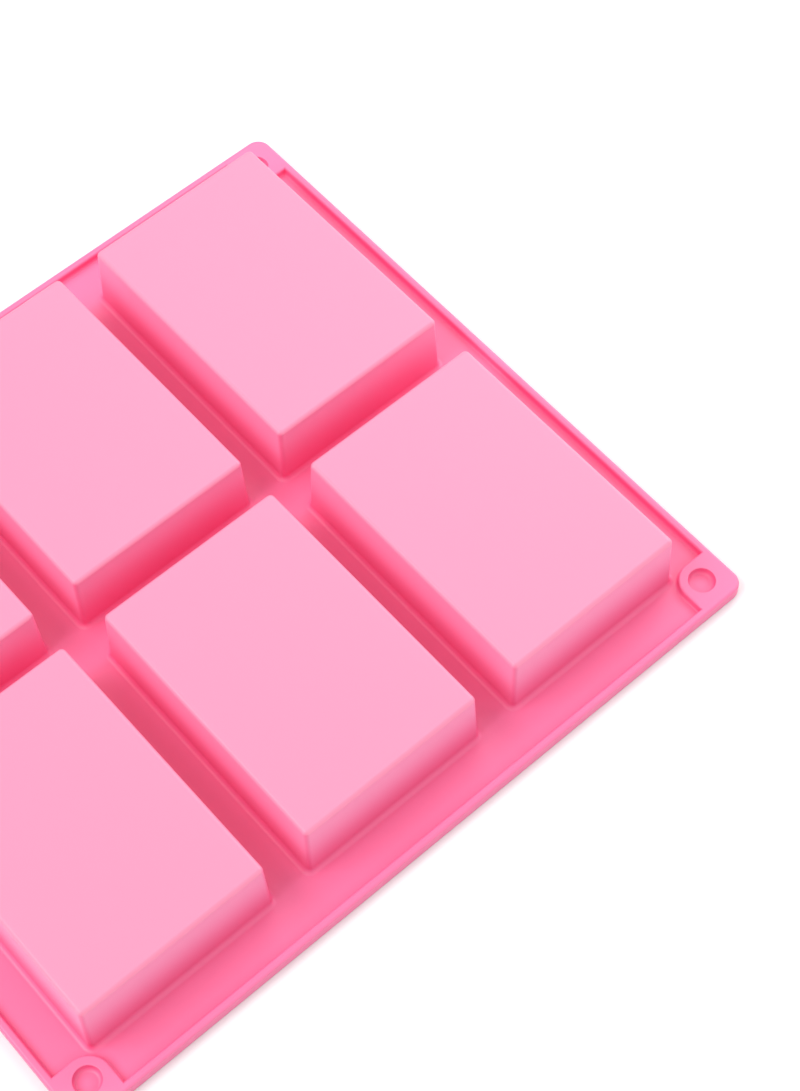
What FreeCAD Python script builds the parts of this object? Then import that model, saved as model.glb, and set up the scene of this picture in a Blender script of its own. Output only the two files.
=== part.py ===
import FreeCAD, Part
import math
import os

# Six-cavity silicone soap mould, lying on its flat mouth side with the cavity floors up.
# X runs along the bars, two cavities across. Y runs over the rows: C, B and A from -Y to +Y.
# The origin is at the middle of the footprint, on the surface that the mould lies on.
# The real thing is one moulding. It is divided into zones that meet face to face.

# whole mould, mm
overall_length = 201.0
overall_width = 219.0
corner_radius = 4.0
web_thickness = 1.8

# cavities, mm: the sizes are those of the outside, at the floor
pitch_x = 91.7
pitch_y = 67.9
floor_length = 80.0
floor_width = 55.2
cavity_height = 21.2
draft = 0.63
wall_thickness = 1.6
floor_thickness = 1.8
upright_radius = 1.4
floor_edge_radius = 1.2
inner_radius = 1.2
foot_radius = 1.5
foot_width = 2.0

# press zone of each cavity floor, mm
floor_margin = 4.0
stretch_width = 14.0
zone_radius = 3.0

# rim bead, mm
rim_width = 2.2
rim_height = 2.2
rim_outer_radius = 0.8
rim_inner_radius = 0.6

# corner pads, flush with the bead, and their blind round recess, mm
pad_size = 14.3
pad_radius = 6.2
recess_radius = 3.6
recess_depth = 2.0
recess_inset = 8.1
recess_edge = 0.3

# fold strips between the rows, mm
strip_width = 5.0

# how far a cutting solid stands past the face it cuts, and the tolerance for finding an edge, mm
overrun = 1.0
tolerance = 0.001

# levels and half sizes worked out from the above
web_top = web_thickness
floor_top = web_top + cavity_height
floor_under = floor_top - floor_thickness
rim_top = web_top + rim_height
half_length = overall_length / 2
half_width = overall_width / 2
strip_edge = pitch_y / 2 + strip_width / 2
mouth_length = floor_length + 2 * draft
mouth_width = floor_width + 2 * draft

vector = FreeCAD.Vector
up = vector(0, 0, 1)

# row letter: sign of its Y place
rows = {"a": 1, "b": 0, "c": -1}
# column number: sign of its X place
columns = {"1": -1, "2": 1}


def quarter_arc(centre, radius, start_degrees):
    points = []
    for step in (0, 45, 90):
        angle = math.radians(start_degrees + step)
        points.append(centre + vector(radius * math.cos(angle), radius * math.sin(angle), 0))
    return Part.Arc(*points).toShape()


def rounded_outline(length, width, radius, z):
    """Closed wire of a rounded rectangle about the Z axis, anticlockwise from the +X +Y corner."""
    reach_x = length / 2 - radius
    reach_y = width / 2 - radius
    arcs = []
    for turn, (sign_x, sign_y) in enumerate([(1, 1), (-1, 1), (-1, -1), (1, -1)]):
        centre = vector(sign_x * reach_x, sign_y * reach_y, z)
        arcs.append(quarter_arc(centre, radius, 90 * turn))
    edges = []
    for arc, following in zip(arcs, arcs[1:] + arcs[:1]):
        edges.append(arc)
        edges.append(Part.makeLine(arc.lastVertex().Point, following.firstVertex().Point))
    return Part.Wire(edges)


def rounded_slab(length, width, radius, bottom, top):
    face = Part.Face(rounded_outline(length, width, radius, bottom))
    return face.extrude(up * (top - bottom))


def plain_slab(low_x, high_x, low_y, high_y, bottom, top):
    corner = vector(low_x, low_y, bottom)
    return Part.makeBox(high_x - low_x, high_y - low_y, top - bottom, corner)


def edges_at(solid, z):
    """Edges of the solid that lie wholly in the horizontal plane at height z."""
    found = []
    for edge in solid.Edges:
        box = edge.BoundBox
        if abs(box.ZMin - z) < tolerance and abs(box.ZMax - z) < tolerance:
            found.append(edge)
    return found


def moved(shape, x, y):
    copy = shape.copy()
    copy.translate(vector(x, y, 0))
    return copy


def press_zone(inset):
    """Length, width and corner radius of a zone of the cavity floor, inset from its outer edge."""
    return floor_length - 2 * inset, floor_width - 2 * inset, zone_radius


def cavity_wall():
    """Four drafted walls with a rounded floor edge, a filleted foot and the floor's fixed margin."""
    block = Part.makeLoft(
        [
            rounded_outline(mouth_length, mouth_width, upright_radius, web_top),
            rounded_outline(floor_length, floor_width, upright_radius, floor_top),
        ],
        True,
        True,
    )
    block = block.makeFillet(floor_edge_radius, edges_at(block, floor_top))
    foot = rounded_slab(
        mouth_length + 2 * foot_width,
        mouth_width + 2 * foot_width,
        upright_radius + foot_width,
        0,
        web_top,
    )
    body = block.fuse(foot).removeSplitter()
    inside_foot = []
    for edge in edges_at(body, web_top):
        box = edge.BoundBox
        if max(abs(box.XMin), abs(box.XMax)) < mouth_length / 2 + foot_width / 2:
            if max(abs(box.YMin), abs(box.YMax)) < mouth_width / 2 + foot_width / 2:
                inside_foot.append(edge)
    body = body.makeFillet(foot_radius, inside_foot)
    inset = 2 * wall_thickness
    inner = Part.makeLoft(
        [
            rounded_outline(mouth_length - inset, mouth_width - inset, inner_radius, 0),
            rounded_outline(floor_length - inset, floor_width - inset, inner_radius, floor_under),
        ],
        True,
        True,
    )
    inner = inner.makeFillet(inner_radius / 2, edges_at(inner, floor_under))
    body = body.cut(inner)
    return body.cut(rounded_slab(*press_zone(floor_margin), floor_under - overrun, floor_top + overrun))


def floor_ring():
    """The band of the cavity floor that stretches when its middle is pushed in."""
    ring = rounded_slab(*press_zone(floor_margin), floor_under, floor_top)
    hole = rounded_slab(*press_zone(floor_margin + stretch_width), floor_under, floor_top)
    return ring.cut(hole)


def floor_panel():
    """The middle of the cavity floor, where a thumb pushes the bar out."""
    return rounded_slab(*press_zone(floor_margin + stretch_width), floor_under, floor_top)


def rounding(centre_x, radius, start_degrees):
    """Quarter circle under the crest of the bead, in the XZ plane."""
    points = []
    for step in (0, 45, 90):
        angle = math.radians(start_degrees + step)
        x = centre_x + radius * math.cos(angle)
        points.append(vector(x, 0, rim_top - radius + radius * math.sin(angle)))
    return Part.Arc(*points).toShape()


def bead_face():
    """Section of the rim bead in the XZ plane: outer face at x = 0, bead towards -X."""
    outer_arc = rounding(-rim_outer_radius, rim_outer_radius, 0)
    inner_arc = rounding(rim_inner_radius - rim_width, rim_inner_radius, 90)
    inner_foot = vector(-rim_width, 0, 0)
    edges = [
        Part.makeLine(vector(0, 0, 0), outer_arc.firstVertex().Point),
        outer_arc,
        Part.makeLine(outer_arc.lastVertex().Point, inner_arc.firstVertex().Point),
        inner_arc,
        Part.makeLine(inner_arc.lastVertex().Point, inner_foot),
        Part.makeLine(inner_foot, vector(0, 0, 0)),
    ]
    return Part.Face(Part.Wire(edges))


def side_bead(low_y, high_y):
    """Straight bead on the +X side, from low_y to high_y."""
    bead = bead_face().extrude(vector(0, high_y - low_y, 0))
    return moved(bead, half_length, low_y)


def end_bead(low_x, high_x):
    """Straight bead on the +Y end, from low_x to high_x."""
    bead = bead_face().extrude(vector(0, high_x - low_x, 0))
    bead.rotate(vector(0, 0, 0), up, 90)
    return moved(bead, high_x, half_width)


def corner_outline(size, inner_round):
    """Plan of a corner pad at the +X +Y corner: rounded outer corner, rounder inner corner."""
    low_x = half_length - size
    low_y = half_width - size
    outer = vector(half_length - corner_radius, half_width - corner_radius, 0)
    inner = vector(low_x + inner_round, low_y + inner_round, 0)
    outer_arc = quarter_arc(outer, corner_radius, 0)
    inner_arc = quarter_arc(inner, inner_round, 180)
    top_left = vector(low_x, half_width, 0)
    right_low = vector(half_length, low_y, 0)
    edges = [
        outer_arc,
        Part.makeLine(outer_arc.lastVertex().Point, top_left),
        Part.makeLine(top_left, inner_arc.firstVertex().Point),
        inner_arc,
        Part.makeLine(inner_arc.lastVertex().Point, right_low),
        Part.makeLine(right_low, outer_arc.firstVertex().Point),
    ]
    return Part.Face(Part.Wire(edges))


def corner_pad():
    """Pad at the +X +Y corner, flush with the bead, with the bead's outer rounding and a blind recess."""
    pad = corner_outline(pad_size, pad_radius).extrude(up * rim_top)
    outer_edges = []
    for edge in edges_at(pad, rim_top):
        box = edge.BoundBox
        on_side = box.XMin > half_length - tolerance
        on_end = box.YMin > half_width - tolerance
        past_x = box.XMin > half_length - corner_radius - tolerance
        past_y = box.YMin > half_width - corner_radius - tolerance
        if on_side or on_end or (past_x and past_y):
            outer_edges.append(edge)
    pad = pad.makeFillet(rim_outer_radius, outer_edges)
    recess_place = vector(half_length - recess_inset, half_width - recess_inset, rim_top - recess_depth)
    recess = Part.makeCylinder(recess_radius, recess_depth + overrun, recess_place)
    pad = pad.cut(recess)
    mouth = []
    for edge in edges_at(pad, rim_top):
        curve = edge.Curve
        if isinstance(curve, Part.Circle) and abs(curve.Radius - recess_radius) < tolerance:
            mouth.append(edge)
    return pad.makeChamfer(recess_edge, mouth)


def mirrored(shape, sign_x, sign_y):
    """The shape made for the +X +Y quarter, reflected into another one."""
    copy = shape.copy()
    if sign_x < 0:
        copy = copy.mirror(vector(0, 0, 0), vector(1, 0, 0))
    if sign_y < 0:
        copy = copy.mirror(vector(0, 0, 0), vector(0, 1, 0))
    return copy


def row_span(sign):
    """Y limits of a row's flat sheet, inside the rim."""
    if sign == 0:
        return -pitch_y / 2 + strip_width / 2, pitch_y / 2 - strip_width / 2
    ends = sorted([sign * strip_edge, sign * (half_width - rim_width)])
    return ends[0], ends[1]


def row_web(sign):
    """The flat sheet of one row, open where its cavities and corner pads are."""
    low_y, high_y = row_span(sign)
    inner_x = half_length - rim_width
    web = plain_slab(-inner_x, inner_x, low_y, high_y, 0, web_top)
    foot_hole = rounded_slab(
        mouth_length + 2 * foot_width,
        mouth_width + 2 * foot_width,
        upright_radius + foot_width,
        -overrun,
        web_top + overrun,
    )
    holes = []
    for side in columns.values():
        holes.append(moved(foot_hole, side * pitch_x / 2, sign * pitch_y))
        if sign:
            pad = corner_outline(pad_size, pad_radius).extrude(up * web_top)
            holes.append(mirrored(pad, side, sign))
    return web.cut(holes)


def save(node, shape):
    if shape.ShapeType == "Compound" and len(shape.Solids) == 1:
        shape = shape.Solids[0]
    if not shape.isValid() or len(shape.Solids) != 1:
        raise ValueError(node + " is not one valid solid")
    shape.exportStep("parts/" + node + ".step")
    box = shape.BoundBox
    print(node, "volume", round(shape.Volume), "height", round(box.ZMax - box.ZMin, 2))


def main():
    os.makedirs("parts", exist_ok=True)
    wall = cavity_wall()
    ring = floor_ring()
    panel = floor_panel()
    pad = corner_pad()
    inner_x = half_length - rim_width

    for row, sign in rows.items():
        save("row_" + row + "_web", row_web(sign))
        low_y, high_y = row_span(sign)
        if sign:
            pad_edge = half_width - pad_size
            low_y, high_y = sorted([sign * strip_edge, sign * pad_edge])
            bead = end_bead(-half_length + pad_size, half_length - pad_size)
            save("rim_end_" + row, mirrored(bead, 1, sign))
        for side, sign_x in (("left", -1), ("right", 1)):
            save("rim_row_" + row + "_" + side, mirrored(side_bead(low_y, high_y), sign_x, 1))
            if sign:
                save("corner_pad_" + row + "_" + side, mirrored(pad, sign_x, sign))
        for column, sign_x in columns.items():
            x = sign_x * pitch_x / 2
            y = sign * pitch_y
            save("cavity_" + row + column + "_wall", moved(wall, x, y))
            save("cavity_" + row + column + "_floor_ring", moved(ring, x, y))
            save("cavity_" + row + column + "_floor_panel", moved(panel, x, y))

    for name, sign in (("ab", 1), ("bc", -1)):
        low_y, high_y = sorted([sign * (strip_edge - strip_width), sign * strip_edge])
        save("fold_strip_" + name, plain_slab(-inner_x, inner_x, low_y, high_y, 0, web_top))
        for side, sign_x in (("left", -1), ("right", 1)):
            save("rim_fold_" + name + "_" + side, mirrored(side_bead(low_y, high_y), sign_x, 1))


main()
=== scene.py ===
import math

import bmesh
import bpy
from mathutils import Matrix, Vector


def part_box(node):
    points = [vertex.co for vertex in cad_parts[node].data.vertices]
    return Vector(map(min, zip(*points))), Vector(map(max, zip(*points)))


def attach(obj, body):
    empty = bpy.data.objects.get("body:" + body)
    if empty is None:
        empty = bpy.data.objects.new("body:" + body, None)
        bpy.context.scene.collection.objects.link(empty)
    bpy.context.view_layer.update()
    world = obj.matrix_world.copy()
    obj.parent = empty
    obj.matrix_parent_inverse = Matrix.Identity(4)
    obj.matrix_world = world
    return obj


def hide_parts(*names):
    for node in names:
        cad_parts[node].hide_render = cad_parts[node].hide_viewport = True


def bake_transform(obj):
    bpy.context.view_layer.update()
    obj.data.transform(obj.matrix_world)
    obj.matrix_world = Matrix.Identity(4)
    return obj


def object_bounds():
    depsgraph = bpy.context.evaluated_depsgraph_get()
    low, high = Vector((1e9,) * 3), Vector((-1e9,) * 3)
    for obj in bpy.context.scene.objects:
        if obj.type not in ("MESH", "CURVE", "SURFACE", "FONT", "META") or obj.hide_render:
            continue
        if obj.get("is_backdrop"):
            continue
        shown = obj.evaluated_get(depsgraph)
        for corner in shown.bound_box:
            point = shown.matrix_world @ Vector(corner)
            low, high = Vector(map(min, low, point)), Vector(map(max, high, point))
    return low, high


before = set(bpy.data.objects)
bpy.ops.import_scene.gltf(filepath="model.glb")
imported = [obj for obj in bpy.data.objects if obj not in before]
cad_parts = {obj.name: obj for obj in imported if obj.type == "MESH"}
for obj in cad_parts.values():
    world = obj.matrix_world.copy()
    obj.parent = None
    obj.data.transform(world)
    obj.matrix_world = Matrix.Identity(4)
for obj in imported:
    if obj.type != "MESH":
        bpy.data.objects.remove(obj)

cadLow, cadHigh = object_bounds()  # the size that the visual model keeps to
mm = 0.001
hair = 0.005 * mm  # closer than this counts as the same place
speck = 1e-6  # a cut takes corners closer than this as lying on it
uprightLean = 0.9  # an edge whose direction has more Z than this is upright
wallLean = 0.2  # a face whose normal has less Z than this is a wall
facingLean = 0.01  # a wall whose normal has more X or Y than this faces that way
smoothAngle = math.radians(35)  # edges sharper than this stay crisp


# modelling helpers

def onlySelect(piece):
    bpy.ops.object.select_all(action="DESELECT")
    piece.select_set(True)
    bpy.context.view_layer.objects.active = piece


def block(name, low, high):
    # a box between two corners, with its place in its mesh
    low, high = Vector(low), Vector(high)
    bpy.ops.object.select_all(action="DESELECT")
    bpy.ops.mesh.primitive_cube_add(size=1, location=(low + high) / 2, scale=high - low)
    piece = bpy.context.object
    piece.name = piece.data.name = name
    bpy.ops.object.transform_apply(location=True, rotation=True, scale=True)
    return piece


def editEdges(piece, test):
    # edit mode, with just the edges that pass the test selected
    onlySelect(piece)
    bpy.ops.object.mode_set(mode="EDIT")
    bpy.ops.mesh.select_mode(type="EDGE")
    bpy.ops.mesh.select_all(action="DESELECT")
    shape = bmesh.from_edit_mesh(piece.data)
    for edge in shape.edges:
        if test(edge):
            edge.select_set(True)
    bmesh.update_edit_mesh(piece.data)


def roundEdges(piece, rounding, test):
    # a rounding is its radius and its number of steps
    radius, steps = rounding
    editEdges(piece, test)
    bpy.ops.mesh.bevel(offset=radius, offset_type="OFFSET", segments=steps, profile=0.5,
                       affect="EDGES")
    bpy.ops.object.mode_set(mode="OBJECT")


def cutAcross(piece, point, direction, trim=False):
    # cuts along a plane; trim takes away what lies past it and closes the cut
    onlySelect(piece)
    bpy.ops.object.mode_set(mode="EDIT")
    bpy.ops.mesh.select_all(action="SELECT")
    bpy.ops.mesh.bisect(plane_co=point, plane_no=direction, use_fill=trim, clear_outer=trim,
                        threshold=speck)
    bpy.ops.object.mode_set(mode="OBJECT")


def applyModifier(piece, kind, **settings):
    onlySelect(piece)
    modifier = piece.modifiers.new(kind, kind)
    for name, value in settings.items():
        setattr(modifier, name, value)
    bpy.ops.object.modifier_apply(modifier=modifier.name)


def combine(piece, tool, operation):
    applyModifier(piece, "BOOLEAN", object=tool, operation=operation, solver="EXACT")
    bpy.data.objects.remove(tool)


def smooth(piece):
    onlySelect(piece)
    bpy.ops.object.shade_smooth_by_angle(angle=smoothAngle)
    applyModifier(piece, "WEIGHTED_NORMAL", mode="FACE_AREA", weight=50, keep_sharp=True)


def near(value, target):
    return abs(value - target) < hair


def level(edge, z):
    return near(edge.verts[0].co.z, z) and near(edge.verts[1].co.z, z)


def middle(edge):
    return (edge.verts[0].co + edge.verts[1].co) / 2


def upright(edge):
    return abs((edge.verts[0].co - edge.verts[1].co).normalized().z) > uprightLean


def uprightAt(edge, place):
    return upright(edge) and (middle(edge) - place).xy.length < hair


def wallNormal(edge):
    # which way the wall at this edge faces, if the edge joins a wall to a flat
    walls = [face.normal for face in edge.link_faces if abs(face.normal.z) < wallLean]
    return walls[0] if len(walls) == 1 else Vector((0, 0, 0))


def meetsWall(edge):
    return wallNormal(edge).length > 0


# the sheet, its rim bead and the corner pads

sheet = {
    "top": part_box("row_b_web")[1].z,
    "rimTop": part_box("rim_end_a")[1].z,
    "rimWidth": 2.2 * mm,
    "rimOuterRound": (0.8 * mm, 8),  # each rounding is a radius and its steps
    "rimInnerRound": (0.6 * mm, 5),
    "rimFootRound": (0.8 * mm, 5),
    "underRound": (0.25 * mm, 2),
    "cornerRound": (4.0 * mm, 14),
    "padSize": 14.3 * mm,
    "padRound": (6.2 * mm, 14),
    "recessInset": 8.1 * mm,
    "recessRadius": 3.6 * mm,
    "recessSides": 64,
    "recessDepth": 2.0 * mm,
    "recessFloorRound": (1.3 * mm, 4),
    "recessLip": (0.3 * mm, 2),
    "overlap": 5 * mm,  # how far a tool stands past what it cuts
}


def halfSheet(name, lowY, highY, endRow=False):
    # the +X half, carried past the middle so that it can be mirrored
    top, over = sheet["rimTop"], sheet["overlap"]
    innerX = cadHigh.x - sheet["rimWidth"]
    piece = block(name, (-over, lowY, 0), (cadHigh.x, highY, top))
    if endRow:
        corner = Vector((cadHigh.x, highY, 0))
        roundEdges(piece, sheet["cornerRound"], lambda e: uprightAt(e, corner))

    def outward(edge):
        normal = wallNormal(edge)
        return normal.x > facingLean or (endRow and normal.y > facingLean)

    roundEdges(piece, sheet["rimOuterRound"], lambda e: level(e, top) and outward(e))
    roundEdges(piece, sheet["underRound"], lambda e: level(e, 0) and outward(e))

    hollowHigh = highY - sheet["rimWidth"] if endRow else highY + over
    hollow = block("hollow", (-2 * over, lowY - over, sheet["top"]),
                   (innerX, hollowHigh, top + over))
    if endRow:
        padLow = Vector((cadHigh.x - sheet["padSize"], highY - sheet["padSize"], 0))
        pad = block("pad", padLow, (cadHigh.x + over, highY + over, top + 2 * over))
        roundEdges(pad, sheet["padRound"], lambda e: uprightAt(e, padLow))
        combine(hollow, pad, "DIFFERENCE")
    combine(piece, hollow, "DIFFERENCE")

    def innerRim(edge):
        normal, place = wallNormal(edge), middle(edge)
        inward = normal.x < -facingLean or normal.y < -facingLean
        seam = near(place.y, lowY) or (near(place.y, highY) and not endRow)
        return inward and place.x > 0 and not seam

    roundEdges(piece, sheet["rimInnerRound"], lambda e: level(e, top) and innerRim(e))
    roundEdges(piece, sheet["rimFootRound"], lambda e: level(e, sheet["top"]) and innerRim(e))

    if endRow:
        centre = Vector((cadHigh.x - sheet["recessInset"], highY - sheet["recessInset"], top))
        depth = sheet["recessDepth"]
        bpy.ops.object.select_all(action="DESELECT")
        bpy.ops.mesh.primitive_cylinder_add(
            vertices=sheet["recessSides"], radius=sheet["recessRadius"], depth=depth + over,
            location=centre + Vector((0, 0, (over - depth) / 2)))
        recess = bpy.context.object
        bpy.ops.object.transform_apply(location=True, rotation=True, scale=True)
        roundEdges(recess, sheet["recessFloorRound"], lambda e: level(e, top - depth))
        combine(piece, recess, "DIFFERENCE")

        def onLip(edge):
            fromCentre = (edge.verts[0].co - centre).xy.length
            return level(edge, top) and near(fromCentre, sheet["recessRadius"])

        roundEdges(piece, sheet["recessLip"], onLip)
    return piece


def mirrorAcross(piece):
    # the -X half is made from the +X half
    alongX = (True, False, False)
    applyModifier(piece, "MIRROR", use_axis=alongX, use_bisect_axis=alongX, use_mirror_merge=True,
                  merge_threshold=hair)


# the cavities, seen from outside as drafted blocks

cavity = {
    "floorLength": 80.0 * mm,
    "floorWidth": 55.2 * mm,
    "spread": 0.63 * mm,  # how much further out each wall stands at its foot
    "wall": 1.6 * mm,
    "floorThickness": 1.8 * mm,
    "uprightRound": (1.4 * mm, 6),
    "floorRound": (1.2 * mm, 6),
    "footRound": (1.5 * mm, 6),
    "innerRound": (1.2 * mm, 6),
    "innerFloorRound": (0.6 * mm, 6),
    "mouthRound": (0.35 * mm, 3),
    "root": 1.0 * mm,  # how deep a cavity's block starts in the sheet
    "reach": 2.0 * mm,  # how far past a cavity its foot is looked for, and its opening cut
}
floorTop = cadHigh.z
floorUnder = floorTop - cavity["floorThickness"]
slope = cavity["spread"] / (floorTop - sheet["top"])


def draftedBlock(centre, inset, low, high, uprightRound, topRound):
    # a block whose walls lean out downwards; inset is from the outer wall
    def halfAt(z):
        lean = slope * (floorTop - z) - inset
        return Vector((cavity["floorLength"] / 2 + lean, cavity["floorWidth"] / 2 + lean, 0))

    half = halfAt(high)
    piece = block("drafted", centre - half + Vector((0, 0, low)),
                  centre + half + Vector((0, 0, high)))
    editEdges(piece, lambda e: level(e, low))
    wider = halfAt(low)
    bpy.ops.transform.resize(value=(wider.x / half.x, wider.y / half.y, 1),
                             center_override=centre)
    bpy.ops.object.mode_set(mode="OBJECT")
    roundEdges(piece, uprightRound, upright)
    roundEdges(piece, topRound, lambda e: level(e, high))
    return piece


# the middle of each floor, which gives when it is pressed: a chamfered rectangle

press = {
    "length": 72.0 * mm,
    "width": 47.2 * mm,
    "chamfer": 10.0 * mm,
    "stretch": 14.0 * mm,  # width of the band that dishes
    "slices": 14,
}


def pressCorners(centre, inset):
    # anticlockwise, from the -Y end of the +X side
    x, y = press["length"] / 2 - inset, press["width"] / 2 - inset
    cut = press["chamfer"] - inset * (2 - math.sqrt(2))  # slanted sides come in by the inset too
    corners = [(x, cut - y), (x, y - cut), (x - cut, y), (cut - x, y),
               (-x, y - cut), (-x, cut - y), (cut - x, -y), (x - cut, -y)]
    return [centre + Vector((u, v, 0)) for u, v in corners]


def slab(name, corners, low, high):
    # a flat plate with upright sides through the corners, which run anticlockwise
    xs, ys = [c.x for c in corners], [c.y for c in corners]
    piece = block(name, (min(xs), min(ys), low), (max(xs), max(ys), high))
    for here, there in zip(corners, corners[1:] + corners[:1]):
        along = there - here
        if abs(along.x) > hair and abs(along.y) > hair:
            cutAcross(piece, here, Vector((along.y, -along.x, 0)).normalized(), trim=True)
    return piece


def addCavity(piece, centre):
    cutAcross(piece, centre, (1, 0, 0))  # keeps the flat faces round the cavity simple
    cutAcross(piece, centre, (0, 1, 0))
    halfLength, halfWidth = cavity["floorLength"] / 2, cavity["floorWidth"] / 2
    reach = cavity["reach"]
    bell = draftedBlock(centre, 0, sheet["top"] - cavity["root"], floorTop,
                        cavity["uprightRound"], cavity["floorRound"])
    combine(piece, bell, "UNION")

    def atFoot(edge):
        offset = middle(edge) - centre
        inside = abs(offset.x) < halfLength + reach and abs(offset.y) < halfWidth + reach
        return inside and level(edge, sheet["top"]) and meetsWall(edge)

    roundEdges(piece, cavity["footRound"], atFoot)
    inside = draftedBlock(centre, cavity["wall"], -sheet["overlap"], floorUnder,
                          cavity["innerRound"], cavity["innerFloorRound"])
    combine(piece, inside, "DIFFERENCE")

    def atMouth(edge):
        place = middle(edge)
        inside = hair < place.x < centre.x + halfLength and abs(place.y - centre.y) < halfWidth
        return inside and level(edge, 0) and meetsWall(edge)

    roundEdges(piece, cavity["mouthRound"], atMouth)
    opening = slab("opening", pressCorners(centre, 0), floorUnder - reach, floorTop + reach)
    combine(piece, opening, "DIFFERENCE")


def cavityCentre(code):
    low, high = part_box("cavity_" + code + "_floor_panel")
    return Vector(((low.x + high.x) / 2, (low.y + high.y) / 2, 0))


rows = {}
spanA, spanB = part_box("row_a_web"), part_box("row_b_web")
rows["A"] = halfSheet("sheetRowA", spanA[0].y, cadHigh.y, endRow=True)
rows["B"] = halfSheet("sheetRowB", spanB[0].y, spanB[1].y)
for row in "AB":
    addCavity(rows[row], cavityCentre(row.lower() + "2"))
    mirrorAcross(rows[row])
rows["C"] = rows["A"].copy()  # row C is row A's mirror image
rows["C"].data = rows["A"].data.copy()
rows["C"].name = rows["C"].data.name = "sheetRowC"
bpy.context.scene.collection.objects.link(rows["C"])
onlySelect(rows["C"])
bpy.ops.object.mode_set(mode="EDIT")
bpy.ops.mesh.select_all(action="SELECT")
bpy.ops.transform.resize(value=(1, -1, 1), center_override=(0, 0, 0))
bpy.ops.mesh.flip_normals()
bpy.ops.object.mode_set(mode="OBJECT")
for row, piece in rows.items():
    smooth(piece)
    low = row.lower()
    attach(piece, "row_" + low)
    stands = ["row_" + low + "_web"] + ["cavity_" + low + column + "_wall" for column in "12"]
    stands += ["rim_row_" + low + "_" + side for side in ("left", "right")]
    if row != "B":
        stands += ["rim_end_" + low]
        stands += ["corner_pad_" + low + "_" + side for side in ("left", "right")]
    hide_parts(*stands)
print("rows moulded:", {name: len(piece.data.polygons) for name, piece in rows.items()})


# the strips between the rows, where the sheet bends

fold = {
    "slices": 12,  # across each strip
}
for name, outerBody, code in (("foldStripAB", "row_a", "ab"), ("foldStripBC", "row_c", "bc")):
    low, high = (corner.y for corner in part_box("fold_strip_" + code))
    strip = halfSheet(name, low, high)
    for step in range(1, fold["slices"]):
        cutAcross(strip, (0, low + (high - low) * step / fold["slices"], 0), (0, 1, 0))
    mirrorAcross(strip)
    smooth(strip)
    start, end = (low, high) if outerBody == "row_a" else (high, low)
    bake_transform(strip)
    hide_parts("fold_strip_" + code,
                "rim_fold_" + code + "_left", "rim_fold_" + code + "_right")
    rows[name] = strip
print("fold strips made")


# the floors: a middle that the thumb pushes, and eight flat parts round it

sectorNames = ["East", "NorthEast", "North", "NorthWest",
               "West", "SouthWest", "South", "SouthEast"]


def pressPattern():
    # one floor's pieces, made round the Z axis; each sector has a start and an end across its
    # band, and is sliced between them
    origin = Vector((0, 0, 0))
    outer, inner = pressCorners(origin, 0), pressCorners(origin, press["stretch"])
    pattern = [(slab("Middle", inner, floorUnder, floorTop), None, None)]
    for place, name in enumerate(sectorNames):
        after = (place + 1) % len(sectorNames)
        corners = [outer[place], outer[after], inner[after], inner[place]]
        sector = slab(name, corners, floorUnder, floorTop)
        start = (outer[place] + outer[after]) / 2
        inward = Vector((0, 0, 1)).cross(outer[after] - outer[place]).normalized()
        end = start + inward * press["stretch"]
        for step in range(1, press["slices"]):
            cutAcross(sector, start.lerp(end, step / press["slices"]), inward)
        pattern.append((sector, start, end))
    return pattern


floors = []
pattern = pressPattern()
for row in "ABC":
    for column in "12":
        code = row.lower() + column
        centre = cavityCentre(code)
        for model, start, end in pattern:
            piece = model.copy()
            piece.data = model.data.copy()
            piece.data.transform(Matrix.Translation(centre))
            piece.name = piece.data.name = "floor" + model.name + row + column
            bpy.context.scene.collection.objects.link(piece)
            if start is None:
                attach(piece, "floor_" + code)
                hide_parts("cavity_" + code + "_floor_panel")
            else:
                "row_" + row.lower()
                "floor_" + code
                centre + start
                centre + end
                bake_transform(piece)
                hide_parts("cavity_" + code + "_floor_ring")
            onlySelect(piece)
            bpy.ops.object.shade_smooth_by_angle(angle=smoothAngle)
            floors.append(piece)
for model, *give in pattern:
    bpy.data.objects.remove(model)
print("floors made:", len(floors), "pieces")


# silicone

class Signal:
    # a value in a material, which arithmetic turns into Math nodes
    def __init__(self, socket):
        self.socket = socket

    def math(self, operation, first, second):
        tree = self.socket.id_data
        node = tree.nodes.new("ShaderNodeMath")
        node.operation = operation
        for place, item in enumerate((first, second)):
            if isinstance(item, Signal):
                tree.links.new(item.socket, node.inputs[place])
            else:
                node.inputs[place].default_value = item
        return Signal(node.outputs[0])

    def __add__(self, other):
        return self.math("ADD", self, other)

    def __radd__(self, other):
        return self.math("ADD", other, self)

    def __sub__(self, other):
        return self.math("SUBTRACT", self, other)

    def __rsub__(self, other):
        return self.math("SUBTRACT", other, self)

    def __mul__(self, other):
        return self.math("MULTIPLY", self, other)

    def __rmul__(self, other):
        return self.math("MULTIPLY", other, self)


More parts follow.
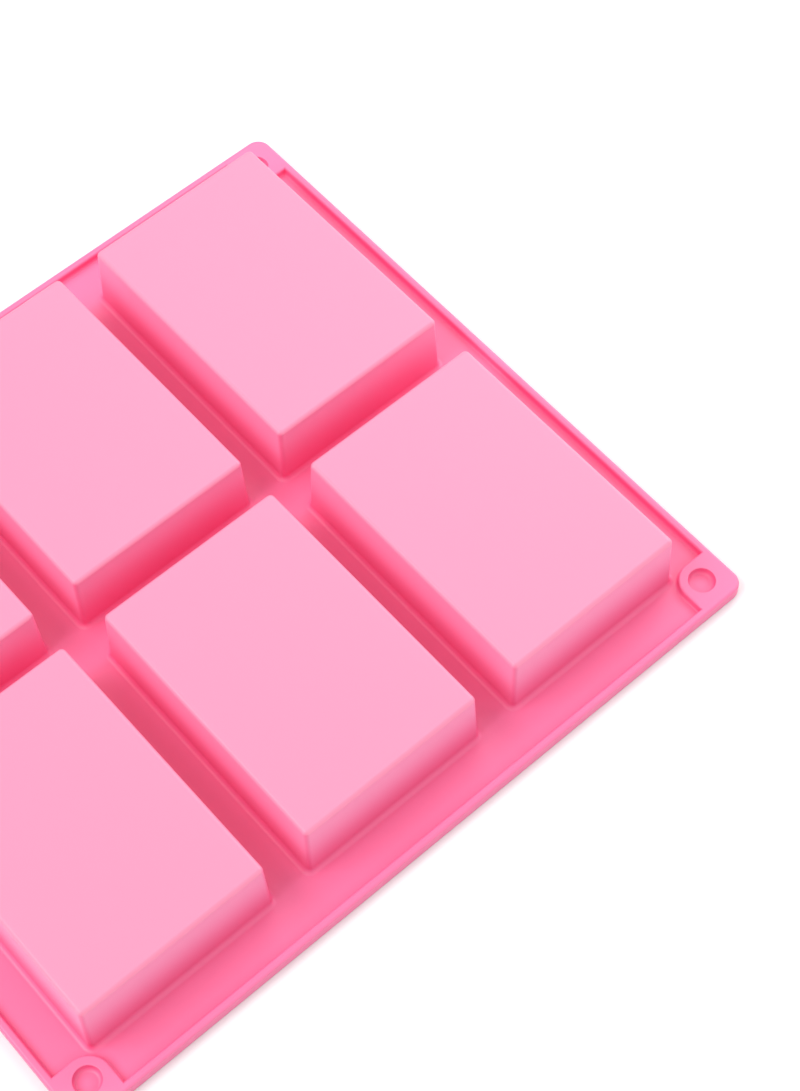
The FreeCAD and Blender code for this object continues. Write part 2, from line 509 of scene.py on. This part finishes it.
class Finish:
    # a material and its nodes
    def __init__(self, name):
        self.material = bpy.data.materials.new(name)
        self.material.use_nodes = True
        self.tree = self.material.node_tree
        self.shader = self.tree.nodes["Principled BSDF"]

    def set(self, node, sockets):
        for name, value in sockets.items():
            value = value.socket if isinstance(value, Signal) else value
            if isinstance(value, bpy.types.NodeSocket):
                self.tree.links.new(value, node.inputs[name])
            else:
                node.inputs[name].default_value = value

    def add(self, kind, settings={}, **sockets):
        node = self.tree.nodes.new(kind)
        for name, value in settings.items():
            setattr(node, name, value)
        self.set(node, sockets)
        return node

    def mix(self, factor, first, second):
        node = self.add("ShaderNodeMix", {"data_type": "RGBA"})
        inputs = [socket for socket in node.inputs if socket.type == "RGBA"]
        outputs = [socket for socket in node.outputs if socket.type == "RGBA"]
        self.tree.links.new(factor.socket, node.inputs[0])
        for socket, colour in zip(inputs, (first, second)):
            if isinstance(colour, bpy.types.NodeSocket):
                self.tree.links.new(colour, socket)
            else:
                socket.default_value = colour
        return outputs[0]


silicone = {
    "pink": (0.915, 0.158, 0.345, 1),
    "palePink": (0.930, 0.178, 0.368, 1),
    "shadePink": (0.850, 0.060, 0.215, 1),  # painted shade for the creases and the upright corners
    "wallLitPink": (0.965, 0.310, 0.520, 1),  # painted light and shade: walls paler towards their tops, for light through the thin wall, and darker towards the foot
    "floorPink": (0.950, 0.248, 0.398, 1),  # painted sheen: the floor tops paler, for the softboxes' white reflection
    "cloud": (24.0, 2.0),  # each noise is its scale and detail
    "mottle": (420.0, 4.0),
    "swell": (55.0, 1.0),
    "grain": (2600.0, 3.0),
    "cloudShare": 0.8,  # how much palePink the cloud and the mottle bring
    "mottleShare": 0.3,
    "wallLitFade": (3.0 * mm, 20.0 * mm),  # heights that the painted wall light comes in between
    "floorFade": (floorTop - 1.6 * mm, floorTop - 0.1 * mm),
    "cornerShadeShare": 0.42,  # how much painted shade an upright corner and a crease bring
    "creaseShadeShare": 0.85,
    "creaseReach": 3.0 * mm,
    "creaseSamples": 8,
    "bumpStrength": 0.35,
    "swellHeight": 0.12 * mm,
    "grainHeight": 0.02 * mm,
    "roughness": 0.405,  # where both noises are black
    "mottleRough": 0.08,
    "grainRough": 0.05,
    "ior": 1.5,
    "specular": 0.7,
}


def siliconeFinish():
    finish = Finish("pinkSilicone")
    place = finish.add("ShaderNodeTexCoord").outputs["Object"]
    height = finish.add("ShaderNodeSeparateXYZ", Vector=place).outputs["Z"]

    def noise(kind):
        scale, detail = silicone[kind]
        node = finish.add("ShaderNodeTexNoise", Vector=place, Scale=scale, Detail=detail)
        return Signal(node.outputs["Fac"])

    def fade(kind):
        # 0 below the first height, 1 above the second
        low, high = silicone[kind]
        node = finish.add("ShaderNodeMapRange", {"interpolation_type": "SMOOTHSTEP"},
                          **{"Value": height, "From Min": low, "From Max": high})
        return Signal(node.outputs["Result"])

    mottle, grain = noise("mottle"), noise("grain")
    paleness = noise("cloud") * silicone["cloudShare"] + mottle * silicone["mottleShare"]
    tint = finish.mix(paleness, silicone["pink"], silicone["palePink"])
    # painted light: walls grow paler with height
    tint = finish.mix(fade("wallLitFade"), tint, silicone["wallLitPink"])
    # painted sheen on the floor tops
    tint = finish.mix(fade("floorFade"), tint, silicone["floorPink"])

    # painted shade: an upright corner, which faces partly along X and partly along Y, is darkened
    normal = finish.add("ShaderNodeTexCoord").outputs["Normal"]
    facing = finish.add("ShaderNodeSeparateXYZ", Vector=normal).outputs
    across, along = Signal(facing["X"]), Signal(facing["Y"])
    corner = across * across * along * along * 4.0
    # painted shade: creases that ambient occlusion finds are darkened
    openness = finish.add("ShaderNodeAmbientOcclusion",
                          {"samples": silicone["creaseSamples"], "only_local": True},
                          Distance=silicone["creaseReach"]).outputs["AO"]
    creaseShade = 1.0 - Signal(openness)
    # how much painted shade each place gets
    depth = corner * silicone["cornerShadeShare"] + creaseShade * silicone["creaseShadeShare"]
    tint = finish.mix(depth, tint, silicone["shadePink"])

    relief = grain * silicone["grainHeight"] + noise("swell") * silicone["swellHeight"]
    bump = finish.add("ShaderNodeBump", Strength=silicone["bumpStrength"], Distance=1.0,
                      Height=relief)
    rough = mottle * silicone["mottleRough"] + grain * silicone["grainRough"]
    finish.set(finish.shader, {
        "Base Color": tint,
        "Roughness": silicone["roughness"] + rough,
        "Normal": bump.outputs["Normal"],
        "IOR": silicone["ior"],
        "Specular IOR Level": silicone["specular"],
    })
    return finish.material


pinkSilicone = siliconeFinish()
for piece in list(rows.values()) + floors:
    piece.data.materials.clear()
    piece.data.materials.append(pinkSilicone)
print("silicone on", len(rows) + len(floors), "pieces")


# studio: a white table, five softboxes and white surroundings

studio = {
    "tableSize": 60.0,
    "tableDrop": 0.05 * mm,
    "tableWhite": (0.8, 0.8, 0.8, 1),
    "tableRoughness": 0.8,
    "tableGlow": 0.08,
    "light": (1, 1, 1, 1),
    "worldStrength": 0.53,
    "aim": (0, 0.02, 0),
    "softboxes": {  # place, size and power
        "back": ((-0.40, 0.55, 0.80), (0.80, 0.70), 3.0),
        "lowBack": ((0.0, 0.75, 0.33), (0.85, 0.60), 3.5),
        "front": ((-0.25, -1.00, 1.35), (1.10, 1.00), 17.5),
        "left": ((-1.10, -0.60, 1.20), (1.10, 1.00), 4.0),
        "right": ((1.60, 0.50, 1.20), (1.40, 1.20), 5.0),
    },
}
bpy.ops.object.select_all(action="DESELECT")
bpy.ops.mesh.primitive_plane_add(size=studio["tableSize"],
                                 location=(0, 0, -studio["tableDrop"]))
table = bpy.context.object
table.name = "table"
tableFinish = Finish("whiteTable")
tableFinish.set(tableFinish.shader, {
    "Base Color": studio["tableWhite"],
    "Roughness": studio["tableRoughness"],
    "Emission Color": studio["light"],
    "Emission Strength": studio["tableGlow"],
})
table.data.materials.append(tableFinish.material)
table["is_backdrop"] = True

world = bpy.data.worlds.new("surroundings")
bpy.context.scene.world = world
world.use_nodes = True
surroundings = world.node_tree.nodes["Background"].inputs
surroundings["Color"].default_value = studio["light"]
surroundings["Strength"].default_value = studio["worldStrength"]

for name, (place, size, power) in studio["softboxes"].items():
    lamp = bpy.data.lights.new(name + "Softbox", "AREA")
    lamp.shape = "RECTANGLE"
    lamp.size, lamp.size_y = size
    lamp.energy = power
    holder = bpy.data.objects.new(name + "Softbox", lamp)
    bpy.context.scene.collection.objects.link(holder)
    holder.location = place
    toAim = Vector(studio["aim"]) - Vector(place)
    holder.rotation_euler = toAim.to_track_quat("-Z", "Y").to_euler()


# camera

eye = {
    "azimuth": 50.45,  # from -Y towards +X
    "elevation": 60.14,
    "roll": -1.76,
    "distance": 632.74 * mm,
    "target": Vector((30.91, 49.82, 1.8)) * mm,
    "lens": 78.39,
    "sensorWidth": 36,
    "clip": (0.01, 20),
}
turn, lift, roll = (math.radians(eye[name]) for name in ("azimuth", "elevation", "roll"))
back = Vector((math.sin(turn) * math.cos(lift), -math.cos(turn) * math.cos(lift), math.sin(lift)))
right = Vector((0, 0, 1)).cross(back).normalized()
over = back.cross(right)
rightRolled = right * math.cos(roll) + over * math.sin(roll)
overRolled = over * math.cos(roll) - right * math.sin(roll)
lens = bpy.data.cameras.new("camera")
lens.lens = eye["lens"]
lens.sensor_width = eye["sensorWidth"]
lens.clip_start, lens.clip_end = eye["clip"]
camera = bpy.data.objects.new("camera", lens)
bpy.context.scene.collection.objects.link(camera)
turned = Matrix((rightRolled, overRolled, back)).transposed().to_4x4()
camera.matrix_world = Matrix.Translation(eye["target"] + back * eye["distance"]) @ turned
bpy.context.scene.camera = camera
bpy.context.scene.view_settings.view_transform = "Standard"
bpy.context.scene.view_settings.look = "None"
print("studio ready")

low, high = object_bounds()
